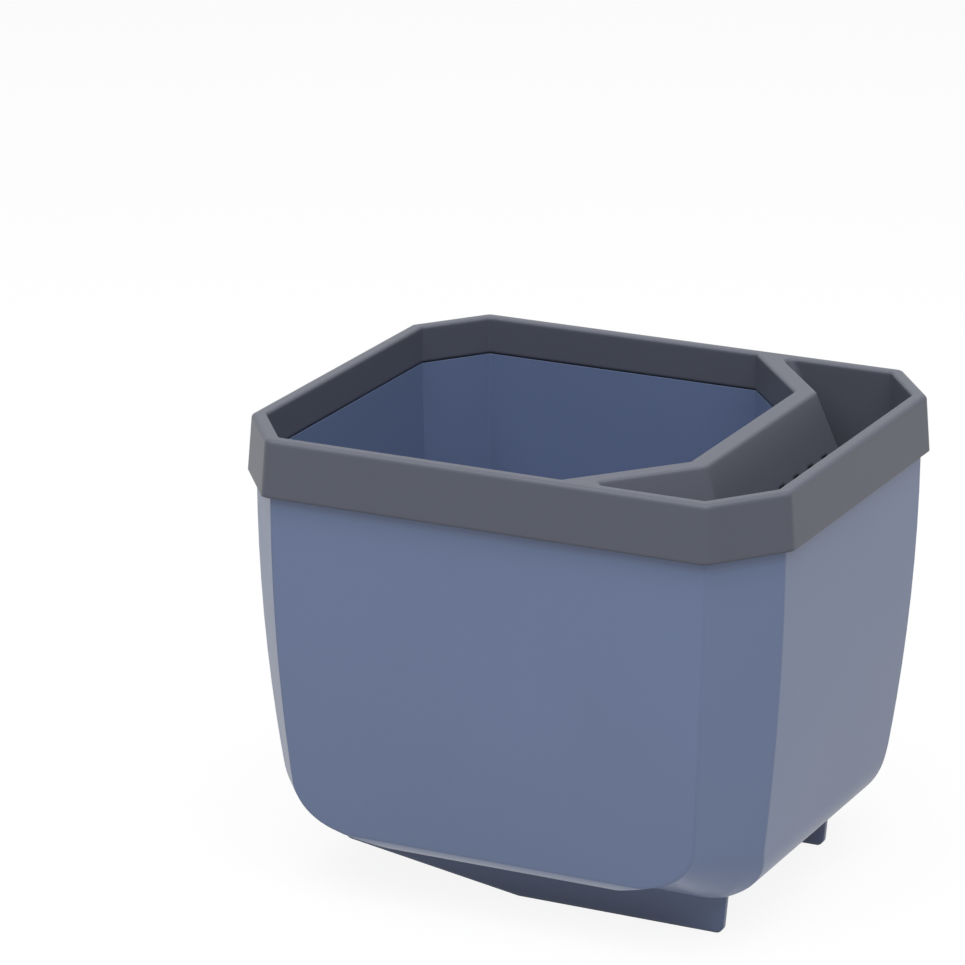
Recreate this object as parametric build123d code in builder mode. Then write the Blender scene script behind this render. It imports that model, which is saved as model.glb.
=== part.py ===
from build123d import *
import os
from math import asin, cos, degrees, hypot, radians, tan

# Herb planter. Millimetres, +Z up, origin under its middle on the surface it stands on.
# X runs along the front, with the watering pocket at +X, and the front looks along -Y.

# Whole planter
length = 180.0
depth = 156.0
height = 150.0

# Rim frame: the grey ring that caps the pot
corner_cut_x = 17.2
corner_cut_y = 22.9
rim_corner_round = 3.0
rim_width = 4.5
rim_plate = 1.8
skirt_height = 18.0
skirt_flare = 1.4
skirt_wall = 1.2
band_height = 12.0
band_wall = 1.2
outer_edge_round = 1.5
inner_edge_round = 0.8
skirt_inner_round = 0.6

# Divider between the herb opening and the pocket
divider_half = 40.5
divider_slant_run = 27.1
divider_width = 6.4
opening_round = 0.8

# Watering pocket, moulded with the frame
pocket_width = 27.8
pocket_depth = 37.0
pocket_slope = 0.38
pocket_draft = 0.015
pocket_wall = 1.2
pocket_floor = 1.5
pocket_tip_round = 2.5
pocket_ridge_round = 2.5
slot_width = 4.5
slot_pitch = 11.3
slot_count = 7
slot_drop = 17.8
slot_length = 13.5

# Pot: the outer vessel
pot_clearance = 0.2
pot_wall = 1.6
pot_shoulder_drop = 20.0
side_bow = 700.0
front_bow = 909.0
side_base_roll = 17.0
panel_base_roll = 26.0
panel_crease_rise = 7.6

# Corner facets: they bow and roll less next to the front and rear panels than next to the sides
facet_side_bow = 600.0
side_corner_roll = 31.0
side_corner_rise = -6.0
facet_panel_bow = 680.0
panel_corner_roll = 18.0
panel_corner_rise = 7.6
facet_tail_slope = 20.0
facet_side_shift = 7.5
facet_panel_shift = 1.0

# Runners under the pot, which let it stand upright or lean to the left
runner_height = 15.0
runner_wall = 2.2
runner_spacing = 80.8
runner_right_inset = 25.2
runner_left_inset = 25.0
runner_kink = -4.5
runner_lean = 8.6
runner_end_draft = 5.0
runner_toe_round = 2.3

# Inner pot, which holds the herb above the water
fit_gap = 0.3
band_gap = 0.4
liner_wall = 1.2
liner_floor = 1.5
liner_draft = 1.5
reservoir_height = 24.0
leg_spread_x = 55.0
leg_middle_x = -8.5
leg_spread_y = 52.0
leg_length = 16.0
leg_wall = 1.6
socket_gap = 0.6
socket_wall = 1.6
socket_height = 2.5
drain_radius = 2.5
drain_pitch = 13.0
drain_count = 7
side_drain_count = 3
side_drain_spacing = 60.0
outer_drain_count = 5
outer_drain_spacing = 96.0

# Felt wicks, which lift water from the reservoir to the roots
wick_width = 12.0
wick_thickness = 2.0
wick_span = 40.0
wick_spacing = 22.0
wick_gap = 0.5

# One overrun serves every cut
overrun = 2.0

# Levels and lines worked out from the sizes above
half_length = length / 2
half_depth = depth / 2
cut_diagonal = hypot(corner_cut_x, corner_cut_y)
corner_nx = corner_cut_y / cut_diagonal
corner_ny = corner_cut_x / cut_diagonal
corner_reach = corner_nx * half_length + corner_ny * (half_depth - corner_cut_y)
divider_x = half_length - rim_width - pocket_width - divider_width
slant_run_y = half_depth - rim_width - divider_half
slant_diagonal = hypot(divider_slant_run, slant_run_y)
slant_nx = slant_run_y / slant_diagonal
slant_ny = divider_slant_run / slant_diagonal
slant_reach = slant_nx * divider_x + slant_ny * divider_half
pot_top = height - rim_plate
pot_shoulder = height - pot_shoulder_drop
pot_base = runner_height
pot_inset = skirt_wall + pot_clearance
pot_half_x = half_length - pot_inset
pot_half_y = half_depth - pot_inset
pot_corner = corner_reach - pot_inset
pot_floor_top = pot_base + pot_wall
liner_base = pot_floor_top + reservoir_height
liner_floor_top = liner_base + liner_floor
liner_top = height - band_height - band_gap
liner_inset = pot_wall + fit_gap
runner_right = half_length - runner_right_inset
runner_left = half_length - runner_left_inset
reach = length


def corner_x(half_y, inset):
    """X where a cut corner, moved in by inset, meets a long side at half_y."""
    return (corner_reach - inset - corner_ny * half_y) / corner_nx


def corner_y(half_x, inset):
    """Y where a cut corner, moved in by inset, meets a short side at half_x."""
    return (corner_reach - inset - corner_nx * half_x) / corner_ny


def slant_x(half_y, shift):
    """X where the divider's slanted side, moved right by shift, meets a long side."""
    return (slant_reach + shift - slant_ny * half_y) / slant_nx


def slant_y(line_x, shift):
    """Y where the divider's slanted side, moved right by shift, meets its straight middle."""
    return (slant_reach + shift - slant_nx * line_x) / slant_ny


def rim_points(inset):
    """Eight corners of the rim's outline, moved in by inset."""
    half_x = half_length - inset
    half_y = half_depth - inset
    near_x = corner_x(half_y, inset)
    near_y = corner_y(half_x, inset)
    right = [(half_x, -near_y), (half_x, near_y), (near_x, half_y)]
    left = [(-near_x, half_y), (-half_x, near_y), (-half_x, -near_y)]
    return right + left + [(-near_x, -half_y), (near_x, -half_y)]


def opening_points(shift):
    """Eight corners of the herb opening, moved out by shift."""
    inset = rim_width - shift
    half_x = half_length - inset
    half_y = half_depth - inset
    near_x = corner_x(half_y, inset)
    near_y = corner_y(half_x, inset)
    tip_x = slant_x(half_y, shift)
    middle_x = divider_x + shift
    middle_y = slant_y(middle_x, shift)
    right = [(tip_x, -half_y), (middle_x, -middle_y), (middle_x, middle_y), (tip_x, half_y)]
    return right + [(-near_x, half_y), (-half_x, near_y), (-half_x, -near_y), (-near_x, -half_y)]


def pocket_points(drop, wall):
    """Eight corners of the pocket at a depth below the rim, moved out by wall."""
    inset = rim_width + pocket_draft * drop - wall
    shift = divider_width + pocket_slope * drop - wall
    half_x = half_length - inset
    half_y = half_depth - inset
    near_x = corner_x(half_y, inset)
    near_y = corner_y(half_x, inset)
    tip_x = slant_x(half_y, shift)
    middle_x = divider_x + shift
    middle_y = slant_y(middle_x, shift)
    outer = [(tip_x, -half_y), (near_x, -half_y), (half_x, -near_y), (half_x, near_y)]
    return outer + [(near_x, half_y), (tip_x, half_y), (middle_x, middle_y), (middle_x, -middle_y)]


def outline(points, level, radius):
    """A rounded outline drawn on a level plane."""
    with BuildSketch(Plane.XY.offset(level)) as sketch:
        with BuildLine():
            Polyline(*points, close=True)
        make_face()
        fillet(sketch.vertices(), radius)
    return sketch.sketch


def pocket_outline(drop, wall):
    """The pocket's rounded outline at a depth below the rim, moved out by wall."""
    points = pocket_points(drop, wall)
    tip = pocket_tip_round + wall
    bend = opening_round + wall
    ridge = pocket_ridge_round - wall
    with BuildSketch(Plane.XY.offset(height - drop)) as sketch:
        with BuildLine():
            Polyline(*points, close=True)
        make_face()
        for point, radius in zip(points, (tip, bend, bend, bend, bend, tip, ridge, ridge)):
            fillet(sketch.vertices().sort_by_distance((*point, height - drop))[0], radius)
    return sketch.sketch


def bowed_profile(plane, half_width, bow, roll, bow_sine, crease_sine):
    """Slab seen end on: straight at the top, bowed in below the shoulder, rolled in at the base.

    bow_sine is the sine of the wall's lean where its bow ends, and crease_sine the sine of the
    lean with which the roll starts there.
    """
    bow_turn = degrees(asin(bow_sine))
    roll_turn = 90 - degrees(asin(crease_sine))
    heading = (-crease_sine, -cos(asin(crease_sine)))
    with BuildSketch(plane.offset(-reach)) as sketch:
        with BuildLine():
            Line((half_width, pot_top + overrun), (half_width, pot_shoulder))
            wall = JernArc((half_width, pot_shoulder), (0, -1), bow, -bow_turn)
            base = JernArc(wall @ 1, heading, roll, -roll_turn)
            mirror(about=Plane.YZ)
            Line((-half_width, pot_top + overrun), (half_width, pot_top + overrun))
            Line((-(base @ 1).X, (base @ 1).Y), base @ 1)
        make_face()
    return sketch.sketch


def facet_profile(along, bow, roll, rise, inset):
    """Section through a corner facet at a distance along it, with all that lies behind it.

    The roll's lowest level would be rise above the pot's base. It runs out down a tail that
    slopes to the level that the pot stands on.
    """
    across = Vector(corner_nx, corner_ny, 0)
    tangent = Vector(-corner_ny, corner_nx, 0)
    plane = Plane(tangent * along, x_dir=across, z_dir=across.cross(Vector(0, 0, 1)))
    roll_centre = pot_base + rise + roll
    turn = degrees(asin((pot_shoulder - roll_centre) / (bow - roll)))
    shoulder_x = pot_corner - inset
    with BuildSketch(plane) as sketch:
        with BuildLine():
            wall = JernArc((shoulder_x, pot_shoulder), (0, -1), bow - inset, -turn)
            heading = wall % 1
            base = JernArc(wall @ 1, heading, roll - inset, turn + facet_tail_slope - 90)
            end = base @ 1
            tail_x = end.X - end.Y / tan(radians(facet_tail_slope))
            Polyline(
                end,
                (tail_x, 0),
                (-reach, 0),
                (-reach, pot_top + overrun),
                (shoulder_x, pot_top + overrun),
                (shoulder_x, pot_shoulder),
            )
        make_face()
    return sketch.sketch


def facet_block(inset):
    """Everything behind the rear right corner's facet, lofted from the side to the panel."""
    side_crease = corner_nx * corner_y(pot_half_x, pot_inset) - corner_ny * pot_half_x
    side_end = side_crease + facet_side_shift
    panel_crease = corner_nx * pot_half_y - corner_ny * corner_x(pot_half_y, pot_inset)
    panel_end = panel_crease - facet_panel_shift
    side = (facet_side_bow, side_corner_roll, side_corner_rise, inset)
    panel = (facet_panel_bow, panel_corner_roll, panel_corner_rise, inset)
    with BuildPart() as block:
        loft(
            [
                facet_profile(-reach, *side),
                facet_profile(side_end, *side),
                facet_profile(panel_end, *panel),
                facet_profile(reach, *panel),
            ],
            ruled=True,
        )
    return block.part


def pot_form(inset):
    """The pot's outer shape moved in by inset: bowed sides, panels and facets in one block."""
    half_x = pot_half_x - inset
    half_y = pot_half_y - inset
    side_roll = side_base_roll - inset
    panel_roll = panel_base_roll - inset
    side_sine = (pot_shoulder - pot_base - side_base_roll) / (side_bow - side_base_roll)
    crease_sine = 1 - panel_crease_rise / panel_base_roll
    crease_level = pot_base + panel_base_roll - panel_roll * crease_sine
    panel_sine = (pot_shoulder - crease_level) / (front_bow - inset)
    block = facet_block(inset)
    rear_blocks = [block, block.mirror(Plane.YZ)]
    with BuildPart() as form:
        sides = bowed_profile(Plane.XZ, half_x, side_bow - inset, side_roll, side_sine, side_sine)
        extrude(sides, amount=reach + reach)
        panels = bowed_profile(Plane.YZ, half_y, front_bow - inset, panel_roll, panel_sine, crease_sine)
        extrude(panels, amount=reach + reach, mode=Mode.INTERSECT)
        for rear_block in rear_blocks:
            add(rear_block, mode=Mode.INTERSECT)
            add(rear_block.mirror(Plane.XZ), mode=Mode.INTERSECT)
    return form.part


def runner_outline(place_y):
    """Side view of the runner at place_y: level on the right, rising to the left of its kink."""
    top = pot_base + side_base_roll
    lean = tan(radians(runner_lean))
    end_lean = tan(radians(runner_end_draft))
    left_rise = (runner_left + runner_kink) * lean
    with BuildSketch(Plane.XZ.offset(-place_y)) as sketch:
        with BuildLine():
            Polyline(
                (runner_kink, 0),
                (runner_right, 0),
                (runner_right + top * end_lean, top),
                (-runner_left - (top - left_rise) * end_lean, top),
                (-runner_left, left_rise),
                close=True,
            )
        make_face()
        ends = sketch.vertices().group_by(Axis.Y)[0].sort_by(Axis.X)[-1:]
        ends = ends + sketch.vertices().group_by(Axis.Y)[1]
        fillet(ends, runner_toe_round)
    return sketch.sketch


# Pot, with its runners and the low rings that locate the inner pot's legs
pot_outer_form = pot_form(0)
pot_inner_form = pot_form(pot_wall)
leg_grid = GridLocations(leg_spread_x, leg_spread_y, 2, 2)
leg_places = [(leg_middle_x + spot.position.X, spot.position.Y) for spot in leg_grid]
with BuildPart() as outer_pot:
    add(pot_outer_form)
    for side in (1, -1):
        extrude(runner_outline(side * runner_spacing / 2), amount=runner_wall / 2, both=True)
    split(bisect_by=Plane.XY.offset(pot_top), keep=Keep.BOTTOM)
    add(pot_inner_form, mode=Mode.SUBTRACT)
    with BuildSketch(Plane.XY.offset(pot_floor_top)):
        with Locations(*leg_places):
            Circle(leg_length / 2 + socket_gap + socket_wall)
            Circle(leg_length / 2 + socket_gap, mode=Mode.SUBTRACT)
    extrude(amount=socket_height)
outer_pot.part.label = "outer_pot"

# Inner pot, cut from the same form so that it follows the pot's wall with a steady gap
liner_outer_form = pot_form(liner_inset)
liner_inner_form = pot_form(liner_inset + liner_wall)
with BuildPart() as liner_hollow:
    hollow_mouth = outline(opening_points(0), liner_top + overrun, opening_round)
    extrude(hollow_mouth, amount=liner_floor_top - liner_top - overrun, taper=liner_draft)
    add(liner_inner_form, mode=Mode.INTERSECT)
with BuildPart() as inner_pot:
    liner_mouth = outline(opening_points(liner_wall), liner_top, opening_round + liner_wall)
    extrude(liner_mouth, amount=liner_base - liner_top, taper=liner_draft)
    add(liner_outer_form, mode=Mode.INTERSECT)
    add(liner_hollow.part, mode=Mode.SUBTRACT)
    with BuildSketch(Plane.XY.offset(liner_base)):
        with Locations(*leg_places):
            Rectangle(leg_length, leg_wall)
            Rectangle(leg_wall, leg_length)
    extrude(amount=pot_floor_top - liner_base)
    with BuildSketch(Plane.XY.offset(liner_base)):
        with Locations((leg_middle_x, 0)):
            with GridLocations(drain_pitch, 0, drain_count, 1):
                Circle(drain_radius)
            with GridLocations(drain_pitch, side_drain_spacing, side_drain_count, 2):
                Circle(drain_radius)
            with GridLocations(drain_pitch, outer_drain_spacing, outer_drain_count, 2):
                Circle(drain_radius)
            with GridLocations(wick_span, wick_spacing, 2, 2):
                Rectangle(wick_thickness + wick_gap + wick_gap, wick_width + wick_gap + wick_gap)
    extrude(amount=liner_floor, mode=Mode.SUBTRACT)
inner_pot.part.label = "inner_pot"

# Rim frame: skirt, top plate, band round the herb opening and watering pocket in one moulding
skirt_lean = degrees(asin(skirt_flare / hypot(skirt_flare, skirt_height)))
hollow_drop = pocket_depth - pocket_floor
slot_near = divider_x + divider_width + pocket_slope * slot_drop - pocket_wall - pocket_wall
slot_run = pocket_slope * slot_length + pocket_wall + pocket_wall + pocket_wall
with BuildPart() as pocket_hollow:
    loft([pocket_outline(-overrun, 0), pocket_outline(hollow_drop, 0)], ruled=True)
with BuildPart() as rim_frame:
    extrude(outline(rim_points(0), height, rim_corner_round), amount=-skirt_height, taper=-skirt_lean)
    skirt_mouth = outline(rim_points(skirt_wall), height, skirt_inner_round)
    extrude(skirt_mouth, amount=-skirt_height, taper=-skirt_lean, mode=Mode.SUBTRACT)
    extrude(outline(rim_points(skirt_wall / 2), height, skirt_inner_round), amount=-rim_plate)
    extrude(outline(opening_points(band_wall), height, opening_round + band_wall), amount=-band_height)
    loft([pocket_outline(0, pocket_wall), pocket_outline(pocket_depth, pocket_wall)], ruled=True)
    opening = outline(opening_points(0), height, opening_round)
    extrude(opening, amount=-band_height, mode=Mode.SUBTRACT)
    add(pocket_hollow.part, mode=Mode.SUBTRACT)
    top_face = rim_frame.faces().sort_by(Axis.Z)[-1]
    fillet(top_face.outer_wire().edges(), outer_edge_round)
    top_face = rim_frame.faces().filter_by(Axis.Z).sort_by(Axis.Z)[-1]
    fillet([edge for wire in top_face.inner_wires() for edge in wire.edges()], inner_edge_round)
    with BuildSketch(Plane.YZ.offset(slot_near)):
        with Locations((0, height - slot_drop - slot_length / 2)):
            with GridLocations(slot_pitch, 0, slot_count, 1):
                Rectangle(slot_width, slot_length)
    extrude(amount=slot_run, mode=Mode.SUBTRACT)
rim_frame.part.label = "rim_frame"


def wick_outline(place_y):
    """Side view of a wick: flat on the inner pot's floor with both ends hanging to the water."""
    top = liner_floor_top + wick_gap + wick_thickness
    outer_span = wick_span + wick_thickness
    inner_span = wick_span - wick_thickness
    tail = top - pot_floor_top - wick_gap
    with BuildSketch(Plane.XZ.offset(-place_y)) as sketch:
        with Locations((leg_middle_x, top)):
            Rectangle(outer_span, tail, align=(Align.CENTER, Align.MAX))
        fillet(sketch.vertices().group_by(Axis.Y)[-1], wick_gap + wick_thickness)
        with Locations((leg_middle_x, top - wick_thickness)):
            Rectangle(inner_span, tail, align=(Align.CENTER, Align.MAX), mode=Mode.SUBTRACT)
        inner_top = sketch.vertices().filter_by_position(
            Axis.Y, top - wick_thickness - wick_gap / 2, top - wick_thickness + wick_gap / 2
        )
        fillet(inner_top, wick_gap)
    return sketch.sketch


# Felt wicks
with BuildPart() as wick_front:
    extrude(wick_outline(-wick_spacing / 2), amount=wick_width / 2, both=True)
wick_front.part.label = "wick_front"

with BuildPart() as wick_rear:
    extrude(wick_outline(wick_spacing / 2), amount=wick_width / 2, both=True)
wick_rear.part.label = "wick_rear"

os.makedirs("parts", exist_ok=True)
export_step(outer_pot.part, "parts/outer_pot.step")
export_step(inner_pot.part, "parts/inner_pot.step")
export_step(rim_frame.part, "parts/rim_frame.step")
export_step(wick_front.part, "parts/wick_front.step")
export_step(wick_rear.part, "parts/wick_rear.step")
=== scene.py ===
import bpy
import math
from mathutils import Matrix, Vector, noise


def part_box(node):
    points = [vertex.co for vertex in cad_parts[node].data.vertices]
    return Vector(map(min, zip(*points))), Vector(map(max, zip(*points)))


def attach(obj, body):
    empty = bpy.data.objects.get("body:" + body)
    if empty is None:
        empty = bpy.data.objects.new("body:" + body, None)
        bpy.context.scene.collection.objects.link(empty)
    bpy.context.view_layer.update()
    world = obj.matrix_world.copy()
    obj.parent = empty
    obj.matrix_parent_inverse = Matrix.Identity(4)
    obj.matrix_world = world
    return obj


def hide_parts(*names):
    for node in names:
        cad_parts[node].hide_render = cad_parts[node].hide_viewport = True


# Herb planter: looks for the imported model. Metres, +Z up, the front looks along -Y.

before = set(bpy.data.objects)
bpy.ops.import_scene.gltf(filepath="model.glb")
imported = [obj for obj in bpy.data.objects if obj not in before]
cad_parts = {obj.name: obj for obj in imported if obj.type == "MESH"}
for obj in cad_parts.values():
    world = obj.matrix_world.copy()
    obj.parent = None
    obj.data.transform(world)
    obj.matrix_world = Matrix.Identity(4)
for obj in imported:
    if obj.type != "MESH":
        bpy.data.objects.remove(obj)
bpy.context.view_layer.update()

# Camera, at the photograph's place and angle
PHOTO_SIZE = 965
SENSOR_WIDTH = 36.0
FOCAL_PIXELS = 5255.5
CAMERA_PLACE = Vector((0.6501, -1.4183, 0.6252))
CAMERA_YAW = math.radians(-25.863)
CAMERA_PITCH = math.radians(17.805)
CAMERA_ROLL = math.radians(0.150)
CAMERA_REACH = 20.0

# Colours of the mouldings and the felt
POT_DARK = (0.080, 0.109, 0.195)
POT_LIGHT = (0.088, 0.120, 0.214)
FRAME_DARK = (0.060, 0.065, 0.084)
FRAME_LIGHT = (0.067, 0.073, 0.094)
FELT_DARK = (0.42, 0.40, 0.35)
FELT_LIGHT = (0.66, 0.64, 0.58)

# Moulded surface: spark-eroded grain, slow drift of tone and gloss, and softened creases
GRAIN_SIZE = 0.00045
GRAIN_DEPTH = 0.000018
GRAIN_STRENGTH = 0.35
GRAIN_DETAIL = 2
DRIFT_SIZE = 0.045
DRIFT_DETAIL = 3
DRIFT_SHARE = 0.75
DRIFT_MIDDLE = 0.5
CREASE_SAMPLES = 8
POT_CREASE = 0.0018
FRAME_CREASE = 0.0014
LINER_CREASE = 0.00015
POT_ROUGHNESS = 0.36
FRAME_ROUGHNESS = 0.4
POT_GLOSS = 0.46
FRAME_GLOSS = 0.22
ROUGHNESS_SWING = 0.06

# Needled felt: how its matted fibres and lumps share its tone and its bump
FELT_STRETCH = (1, 2.5, 1)
FELT_FIBRE_SCALE = 2600
FELT_FIBRE_DETAIL = 4
FELT_LUMP_DETAIL = 2
FELT_TONE_SHARE = 0.6
FELT_BUMP_SHARE = 0.7
FELT_BUMP_DEPTH = 0.00012
FELT_BUMP_STRENGTH = 0.8
FELT_ROUGHNESS = 0.92
FELT_SHEEN = 0.3

# Felt wicks: the strap under its lumps, and the loose fibres on it (angles of fibres in radians)
WICK_CORE = 0.0015
WICK_BEND_SHARE = 1.25
WICK_EDGE_ROUND = 0.0007
WICK_EDGE_ANGLES = (60, 30, 0, -30, -60)
WICK_LUMP_SIZE = 0.0022
WICK_LUMP_DEPTH = 0.00016
WICK_STEP = 0.0006
FIBRE_DENSITY = 2.0e6
FIBRE_LENGTH = 0.0014
FIBRE_RADIUS = 0.000018
FIBRE_POINTS = 5
FIBRE_SIDES = 3
FIBRE_CURL = 1.1
FIBRE_LEAN = 0.35
FIBRE_TURN = 3.14
FIBRE_SEED = 7

# Studio
FLOOR_SIZE = 20.0
FLOOR_COLOR = (0.72, 0.72, 0.72)
FLOOR_GLOW = 0.9
FLOOR_SHINE = 1.0
WHITE = (1, 1, 1, 1)
WHITE_LEVEL = 1.0
WORLD_LEVEL = 0.25
TOP_PLACE = (0.15, -0.4, 1.4)
TOP_SIZE = 2.2
TOP_POWER = 58.0
LAMP_AIM = (0, 0, 0.08)


class Value:
    """A number that changes over a surface. Its arithmetic is written with Python's operators."""

    def __init__(self, shader, socket):
        self.shader = shader
        self.socket = socket

    def maths(self, operation, first, second):
        return self.shader.node("ShaderNodeMath", {"operation": operation}, {0: first, 1: second})

    def __add__(self, other):
        return self.maths("ADD", self, other)

    def __radd__(self, other):
        return self.maths("ADD", other, self)

    def __sub__(self, other):
        return self.maths("SUBTRACT", self, other)

    def __rsub__(self, other):
        return self.maths("SUBTRACT", other, self)

    def __mul__(self, other):
        return self.maths("MULTIPLY", self, other)

    def __rmul__(self, other):
        return self.maths("MULTIPLY", other, self)


class Shader:
    """The node tree of a material or of the world, to which any node is added by one method."""

    def __init__(self, owner):
        self.owner = owner
        owner.use_nodes = True
        self.tree = owner.node_tree
        self.tree.nodes.clear()

    def node(self, kind, settings=None, inputs=None, output=0):
        """Adds a node with its settings, then sets or links its inputs, and gives one output."""
        made = self.tree.nodes.new(kind)
        for key, value in (settings or {}).items():
            setattr(made, key, value)
        for key, value in (inputs or {}).items():
            if isinstance(value, Value):
                self.tree.links.new(value.socket, made.inputs[key])
            else:
                made.inputs[key].default_value = value
        if made.outputs:
            return Value(self, made.outputs[output])

    def place(self):
        """Places on the object, in metres."""
        return self.node("ShaderNodeTexCoord", output="Object")

    def clouds(self, size, detail):
        """Soft noise between 0 and 1, with lumps about size across."""
        inputs = {"Vector": self.place(), "Scale": 1 / size, "Detail": detail}
        return self.node("ShaderNodeTexNoise", {}, inputs, output=0)

    def blend(self, factor, first, second):
        """A colour between two."""
        inputs = {0: factor, 6: (*first, 1), 7: (*second, 1)}
        return self.node("ShaderNodeMix", {"data_type": "RGBA"}, inputs, output=2)

    def seen(self, directly, mirrored):
        """A level for what the camera sees directly, another for what a surface mirrors, and 0 else."""
        camera = self.node("ShaderNodeLightPath", output="Is Camera Ray")
        gloss = self.node("ShaderNodeLightPath", output="Is Glossy Ray")
        return directly * camera + mirrored * gloss

    def close(self, surface, output="ShaderNodeOutputMaterial"):
        """Sends one surface to the output and gives the finished material or world."""
        self.node(output, {}, {"Surface": surface})
        return self.owner

    def close_principled(self, inputs):
        """Closes the material with one principled surface."""
        return self.close(self.node("ShaderNodeBsdfPrincipled", {}, inputs))


def moulded(name, dark, light, roughness, gloss, crease):
    """Matte injection-moulded polypropylene with a fine grain and softened creases."""
    shader = Shader(bpy.data.materials.new(name))
    grain = shader.clouds(GRAIN_SIZE, GRAIN_DETAIL)
    drift = shader.clouds(DRIFT_SIZE, DRIFT_DETAIL)
    bump = shader.node("ShaderNodeBump", {}, {
        "Strength": GRAIN_STRENGTH,
        "Distance": GRAIN_DEPTH,
        "Height": grain,
        "Normal": shader.node("ShaderNodeBevel", {"samples": CREASE_SAMPLES}, {"Radius": crease}),
    })
    tone = DRIFT_SHARE * drift + (1 - DRIFT_SHARE) * grain
    return shader.close_principled({
        "Base Color": shader.blend(tone, dark, light),
        "Roughness": roughness + ROUGHNESS_SWING * (drift - DRIFT_MIDDLE),
        "Specular IOR Level": gloss,
        "Normal": bump,
    })


def needled_felt():
    """Undyed needled felt: matted fibres in two tones."""
    shader = Shader(bpy.data.materials.new("needled_felt"))
    fibres = shader.node("ShaderNodeTexNoise", {}, {
        "Vector": shader.node("ShaderNodeMapping", {}, {"Vector": shader.place(), "Scale": FELT_STRETCH}),
        "Scale": FELT_FIBRE_SCALE,
        "Detail": FELT_FIBRE_DETAIL,
    })
    lumps = shader.clouds(WICK_LUMP_SIZE, FELT_LUMP_DETAIL)
    bump = shader.node("ShaderNodeBump", {}, {
        "Strength": FELT_BUMP_STRENGTH,
        "Distance": FELT_BUMP_DEPTH,
        "Height": FELT_BUMP_SHARE * fibres + (1 - FELT_BUMP_SHARE) * lumps,
    })
    tone = FELT_TONE_SHARE * fibres + (1 - FELT_TONE_SHARE) * lumps
    return shader.close_principled({
        "Base Color": shader.blend(tone, FELT_DARK, FELT_LIGHT),
        "Roughness": FELT_ROUGHNESS,
        "Sheen Weight": FELT_SHEEN,
        "Normal": bump,
    })


def studio_floor():
    """Pale floor that the camera sees as nearly white, with the planter's soft shadow on it."""
    shader = Shader(bpy.data.materials.new("studio_floor"))
    paint = shader.node("ShaderNodeBsdfDiffuse", {}, {"Color": (*FLOOR_COLOR, 1)})
    glow = shader.node("ShaderNodeEmission", {}, {"Color": WHITE, "Strength": WHITE_LEVEL})
    share = shader.seen(FLOOR_GLOW, FLOOR_SHINE)
    return shader.close(shader.node("ShaderNodeMixShader", {}, {0: share, 1: paint, 2: glow}))


def white_surroundings():
    """White all round: a plain level of light, which shows as full white where a surface mirrors it."""
    shader = Shader(bpy.data.worlds.new("white_surroundings"))
    more = WHITE_LEVEL - WORLD_LEVEL
    level = WORLD_LEVEL + shader.seen(more, more)
    background = shader.node("ShaderNodeBackground", {}, {"Color": WHITE, "Strength": level})
    return shader.close(background, "ShaderNodeOutputWorld")


def make_camera():
    """A camera at the photograph's place and angle."""
    forward = Vector((
        math.sin(CAMERA_YAW) * math.cos(CAMERA_PITCH),
        math.cos(CAMERA_YAW) * math.cos(CAMERA_PITCH),
        -math.sin(CAMERA_PITCH),
    ))
    level_right = Vector((math.cos(CAMERA_YAW), -math.sin(CAMERA_YAW), 0))
    level_up = level_right.cross(forward)
    right = math.cos(CAMERA_ROLL) * level_right + math.sin(CAMERA_ROLL) * level_up
    up = math.cos(CAMERA_ROLL) * level_up - math.sin(CAMERA_ROLL) * level_right
    data = bpy.data.cameras.new("camera")
    data.sensor_width = SENSOR_WIDTH
    data.lens = SENSOR_WIDTH * FOCAL_PIXELS / PHOTO_SIZE
    data.clip_end = CAMERA_REACH
    camera = bpy.data.objects.new("camera", data)
    bpy.context.scene.collection.objects.link(camera)
    columns = Matrix((right, up, -forward)).transposed().to_4x4()
    camera.matrix_world = Matrix.Translation(CAMERA_PLACE) @ columns
    bpy.context.scene.camera = camera


def make_lamp(name, place, size, power):
    """A soft square lamp that looks at the planter."""
    data = bpy.data.lights.new(name, "AREA")
    data.size = size
    data.energy = power
    lamp = bpy.data.objects.new(name, data)
    bpy.context.scene.collection.objects.link(lamp)
    lamp.location = place
    lamp.rotation_euler = (Vector(LAMP_AIM) - Vector(place)).to_track_quat("-Z", "Y").to_euler()


def make_studio():
    """Floor, even white surroundings and one large soft lamp."""
    half = FLOOR_SIZE / 2
    corners = [(-half, -half, 0), (half, -half, 0), (half, half, 0), (-half, half, 0)]
    mesh = bpy.data.meshes.new("floor")
    mesh.from_pydata(corners, [], [(0, 1, 2, 3)])
    mesh.materials.append(studio_floor())
    floor = bpy.data.objects.new("floor", mesh)
    bpy.context.scene.collection.objects.link(floor)
    bpy.context.scene.world = white_surroundings()
    make_lamp("top", TOP_PLACE, TOP_SIZE, TOP_POWER)


def wick_path(low, high, thickness):
    """The middle line of a wick: up one tail, over the inner pot's floor and down the other."""
    left = low[0] + thickness / 2
    right = high[0] - thickness / 2
    top = high[2] - thickness / 2
    bend = WICK_BEND_SHARE * thickness
    corners = []
    for centre_x, first, last in ((left + bend, math.pi, math.pi / 2), (right - bend, math.pi / 2, 0)):
        steps = max(2, round(bend * math.pi / 2 / WICK_STEP))
        for k in range(steps + 1):
            angle = first + (last - first) * k / steps
            corners.append((centre_x + bend * math.cos(angle), top - bend + bend * math.sin(angle)))
    line = [(left, low[2])] + corners + [(right, low[2])]
    points = []
    for start, end in zip(line, line[1:]):
        steps = max(1, round(math.dist(start, end) / WICK_STEP))
        run = (end[0] - start[0], end[1] - start[1])
        points += [(start[0] + run[0] * k / steps, start[1] + run[1] * k / steps) for k in range(steps)]
    return points + [line[-1]]


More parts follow.
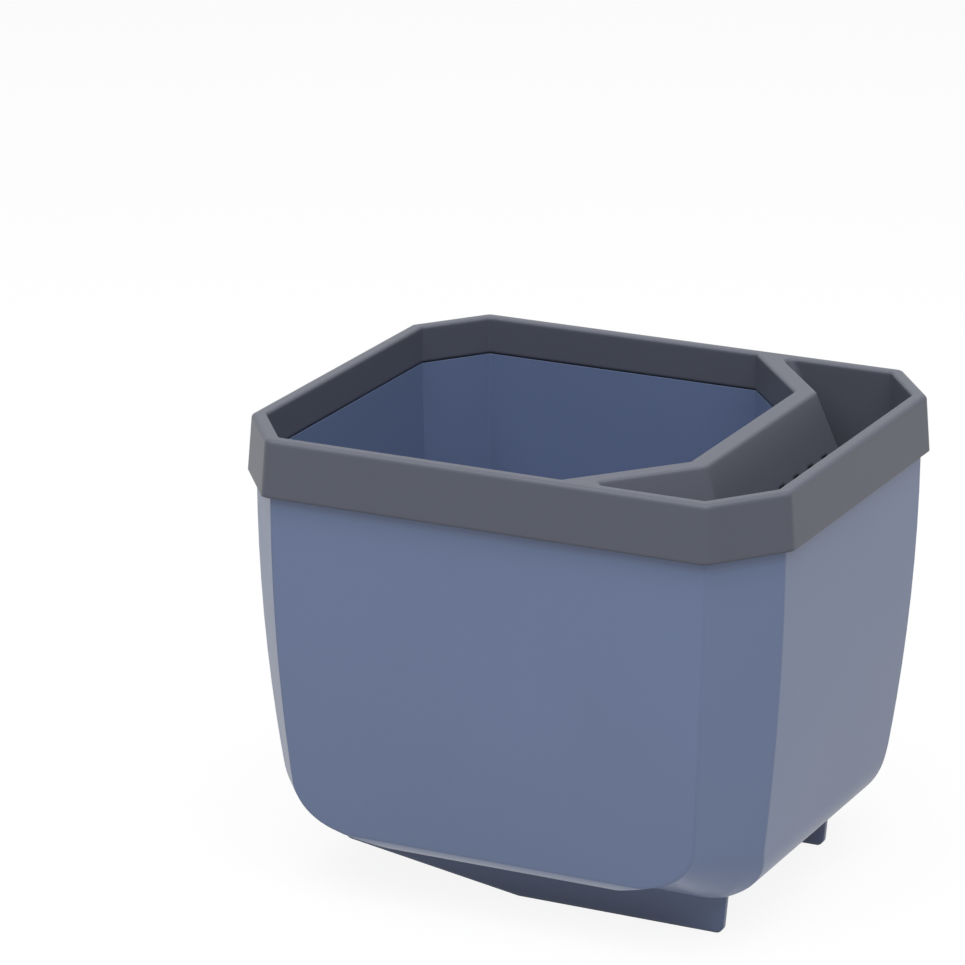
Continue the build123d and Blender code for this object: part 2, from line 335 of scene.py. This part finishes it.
def wick_section(width, thickness):
    """Outline of the strap's section: offsets across its width and through its thickness."""
    half_width = width / 2 - WICK_EDGE_ROUND
    half_thick = thickness / 2 - WICK_EDGE_ROUND
    columns = round(2 * half_width / WICK_STEP)
    ring = [(-half_width + 2 * half_width * k / columns, thickness / 2) for k in range(columns + 1)]
    for angle in WICK_EDGE_ANGLES:
        turn = math.radians(angle)
        lift = half_thick if angle > 0 else -half_thick if angle < 0 else 0
        ring.append((half_width + WICK_EDGE_ROUND * math.cos(turn), lift + WICK_EDGE_ROUND * math.sin(turn)))
    return ring + [(-across, -through) for across, through in ring]


def make_wick(name, material):
    """A felt strap in the space of its CAD solid, with lumps; add_fibres gives it its loose fibres."""
    low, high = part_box(name)
    width = high[1] - low[1]
    middle_y = (high[1] + low[1]) / 2
    lump_room = 2 * WICK_LUMP_DEPTH
    thickness = WICK_CORE + lump_room
    path = wick_path(low, high, thickness)
    ring = wick_section(width - 2 * lump_room, thickness)
    vertices, faces = [], []
    for index, (x, z) in enumerate(path):
        before = path[max(index - 1, 0)]
        after = path[min(index + 1, len(path) - 1)]
        run = Vector((after[0] - before[0], 0, after[1] - before[1])).normalized()
        outward = Vector((-run.z, 0, run.x))
        for across, through in ring:
            point = Vector((x, middle_y + across, z)) + through * outward
            lump = noise.noise(point / WICK_LUMP_SIZE) * WICK_LUMP_DEPTH
            flat = Vector((0, across, 0)) + through * outward
            vertices.append(point + lump * flat.normalized())
    count = len(ring)
    for row in range(len(path) - 1):
        for k in range(count):
            a = row * count + k
            b = row * count + (k + 1) % count
            faces.append((a, b, b + count, a + count))
    faces.append(tuple(reversed(range(count))))
    faces.append(tuple(range((len(path) - 1) * count, len(path) * count)))
    mesh = bpy.data.meshes.new(name + "_felt")
    mesh.from_pydata(vertices, [], faces)
    mesh.materials.append(material)
    strap = bpy.data.objects.new(name + "_felt", mesh)
    bpy.context.scene.collection.objects.link(strap)
    return strap


def fibre_tree(material):
    """Geometry nodes that scatter short curled fibres over a felt surface."""
    tree = bpy.data.node_groups.new("felt_fibres", "GeometryNodeTree")
    sockets = tree.interface
    sockets.new_socket("Geometry", in_out="INPUT", socket_type="NodeSocketGeometry")
    for title in ("Fibre Density", "Fibre Length", "Fibre Radius"):
        sockets.new_socket(title, in_out="INPUT", socket_type="NodeSocketFloat")
    sockets.new_socket("Fibre Seed", in_out="INPUT", socket_type="NodeSocketInt")
    sockets.new_socket("Geometry", in_out="OUTPUT", socket_type="NodeSocketGeometry")

    def add(kind, settings=None, inputs=None):
        made = tree.nodes.new(kind)
        for key, value in (settings or {}).items():
            setattr(made, key, value)
        for key, value in (inputs or {}).items():
            if isinstance(value, bpy.types.NodeSocket):
                tree.links.new(value, made.inputs[key])
            else:
                made.inputs[key].default_value = value
        return made

    sizes = add("NodeGroupInput").outputs
    scatter = add("GeometryNodeDistributePointsOnFaces", {}, {
        "Mesh": sizes["Geometry"],
        "Density": sizes["Fibre Density"],
        "Seed": sizes["Fibre Seed"],
    }).outputs
    arc = add("GeometryNodeCurveArc", {}, {
        "Resolution": FIBRE_POINTS,
        "Radius": sizes["Fibre Length"],
        "Sweep Angle": FIBRE_CURL,
    }).outputs
    section = add("GeometryNodeCurvePrimitiveCircle", {}, {
        "Resolution": FIBRE_SIDES,
        "Radius": sizes["Fibre Radius"],
    }).outputs
    fibre = add("GeometryNodeCurveToMesh", {}, {"Curve": arc[0], "Profile Curve": section[0]}).outputs
    spin = add("FunctionNodeRandomValue", {"data_type": "FLOAT_VECTOR"}, {
        0: (-FIBRE_LEAN, -FIBRE_LEAN, -FIBRE_TURN),
        1: (FIBRE_LEAN, FIBRE_LEAN, FIBRE_TURN),
        "Seed": sizes["Fibre Seed"],
    }).outputs
    turned = add("FunctionNodeRotateEuler", {"space": "LOCAL"}, {
        "Rotation": scatter["Rotation"],
        "Rotate By": spin[0],
    }).outputs
    placed = add("GeometryNodeInstanceOnPoints", {}, {
        "Points": scatter["Points"],
        "Instance": fibre[0],
        "Rotation": turned[0],
    }).outputs
    joined = add("GeometryNodeJoinGeometry").inputs[0]
    tree.links.new(placed[0], joined)
    tree.links.new(sizes["Geometry"], joined)
    real = add("GeometryNodeRealizeInstances", {}, {0: joined.node.outputs[0]}).outputs
    painted = add("GeometryNodeSetMaterial", {}, {"Geometry": real[0], "Material": material}).outputs
    add("NodeGroupOutput", {}, {0: painted[0]})
    return tree


def add_fibres(strap, tree):
    """Runs the fibre nodes on a strap and keeps the result as its plain mesh."""
    modifier = strap.modifiers.new("fibres", "NODES")
    modifier.node_group = tree
    sizes = {
        "Fibre Density": FIBRE_DENSITY,
        "Fibre Length": FIBRE_LENGTH,
        "Fibre Radius": FIBRE_RADIUS,
        "Fibre Seed": FIBRE_SEED,
    }
    for item in tree.interface.items_tree:
        if item.in_out == "INPUT" and item.name in sizes:
            modifier[item.identifier] = sizes[item.name]
    shown = strap.evaluated_get(bpy.context.evaluated_depsgraph_get())
    mesh = bpy.data.meshes.new_from_object(shown)
    strap.modifiers.remove(modifier)
    strap.data = mesh


make_camera()
make_studio()

pot_blue = moulded("pot_blue", POT_DARK, POT_LIGHT, POT_ROUGHNESS, POT_GLOSS, POT_CREASE)
liner_blue = moulded("liner_blue", POT_DARK, POT_LIGHT, POT_ROUGHNESS, POT_GLOSS, LINER_CREASE)
frame_grey = moulded("frame_grey", FRAME_DARK, FRAME_LIGHT, FRAME_ROUGHNESS, FRAME_GLOSS, FRAME_CREASE)
felt = needled_felt()
for node, material in (("outer_pot", pot_blue), ("inner_pot", liner_blue), ("rim_frame", frame_grey)):
    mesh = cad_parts[node].data
    mesh.materials.clear()
    mesh.materials.append(material)

fibres = fibre_tree(felt)
for node in ("wick_front", "wick_rear"):
    strap = make_wick(node, felt)
    add_fibres(strap, fibres)
    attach(strap, "liner")
    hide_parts(node)

bpy.context.scene.view_settings.view_transform = "Standard"
